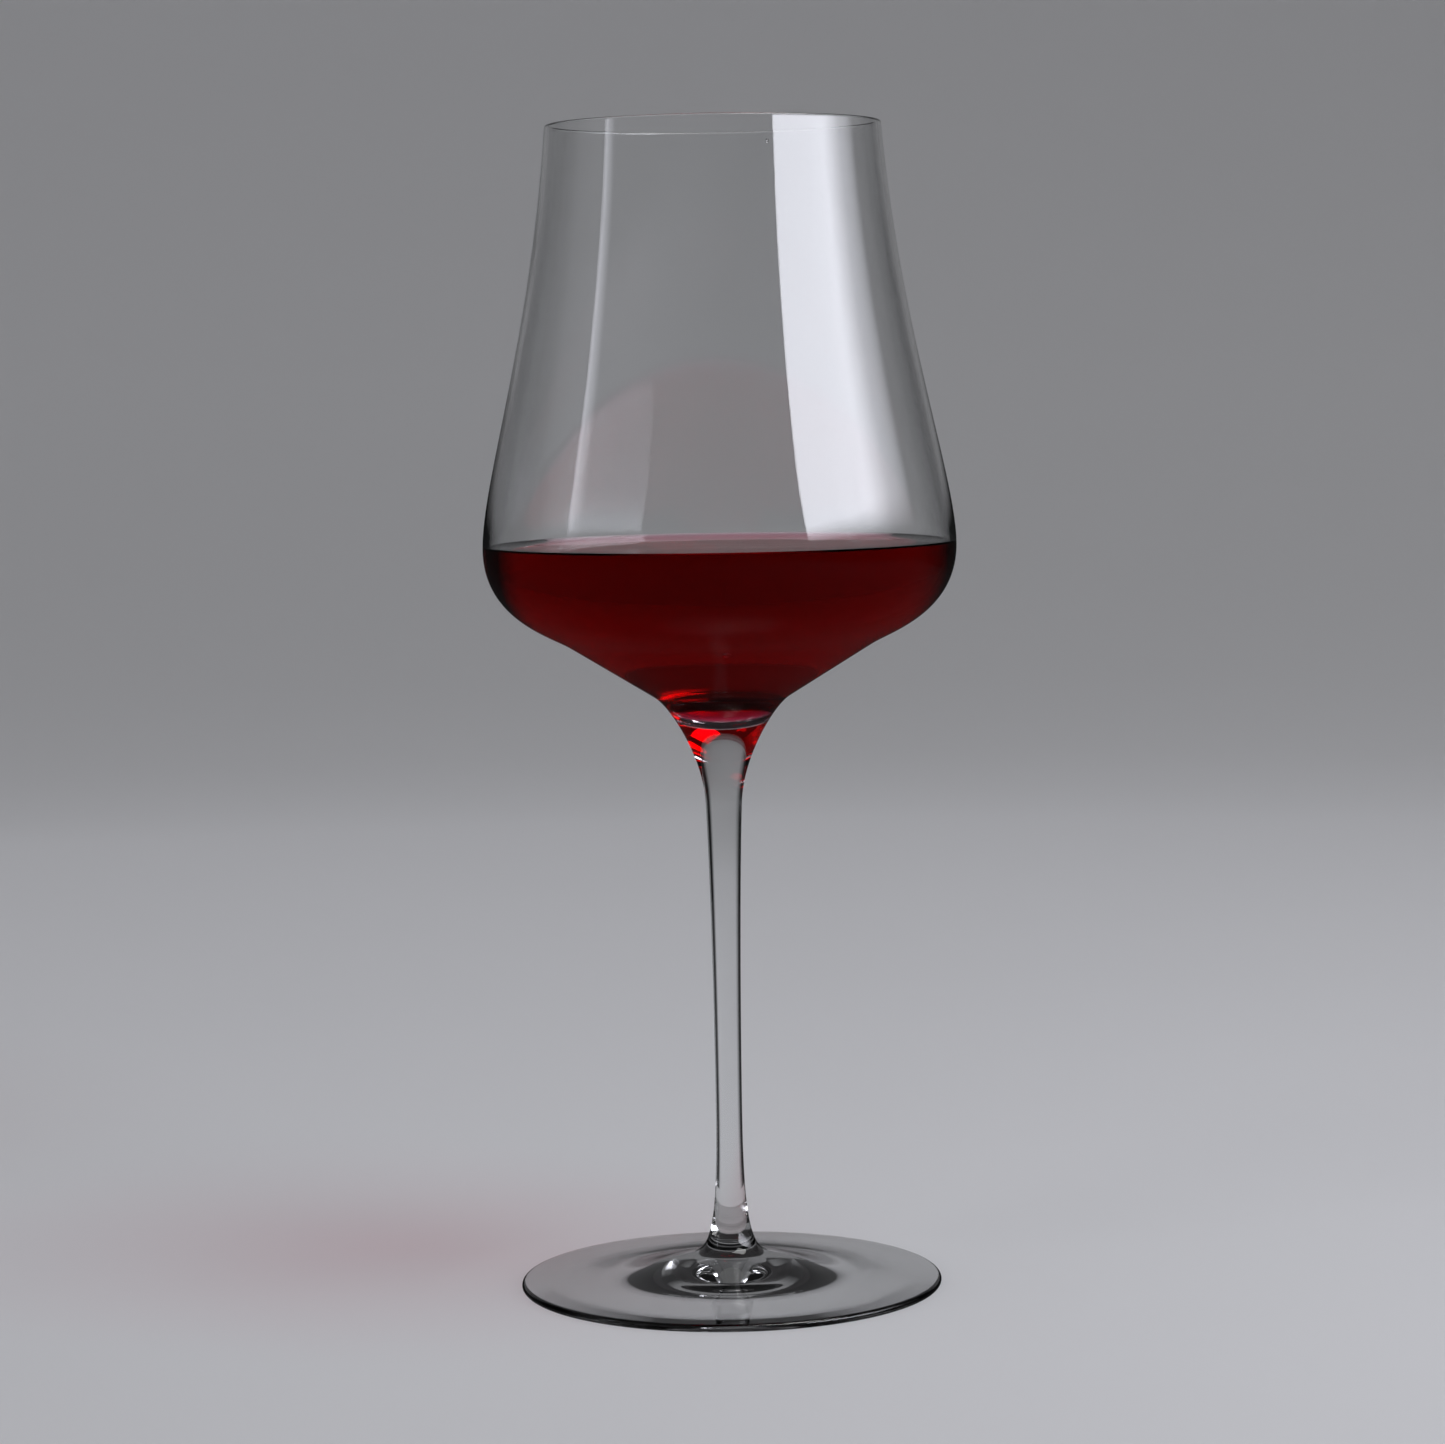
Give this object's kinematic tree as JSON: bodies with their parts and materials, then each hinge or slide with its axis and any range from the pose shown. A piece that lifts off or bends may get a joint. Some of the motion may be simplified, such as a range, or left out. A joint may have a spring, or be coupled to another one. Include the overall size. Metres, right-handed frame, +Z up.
{
  "type": "glass of red wine",
  "caption": "Stemmed clear wine glass with a wide bowl, low shoulder, thin stem and flat round foot, filled with red wine to its widest point.",
  "frame": {"origin": "centre of the foot's underside, on the surface that the glass stands on", "axes": "+Z up along the axis of the glass, from the foot to the rim; X and Y level, +Y away from the viewer"},
  "size_m": [0.0932, 0.0932, 0.23],
  "materials": {
    "clear_glass": "clear, fire polished",
    "red_wine": "clear deep garnet liquid"
  },
  "bodies": {
    "root": {"glass": "clear_glass", "wine": "red_wine"}
  },
  "joints": []
}
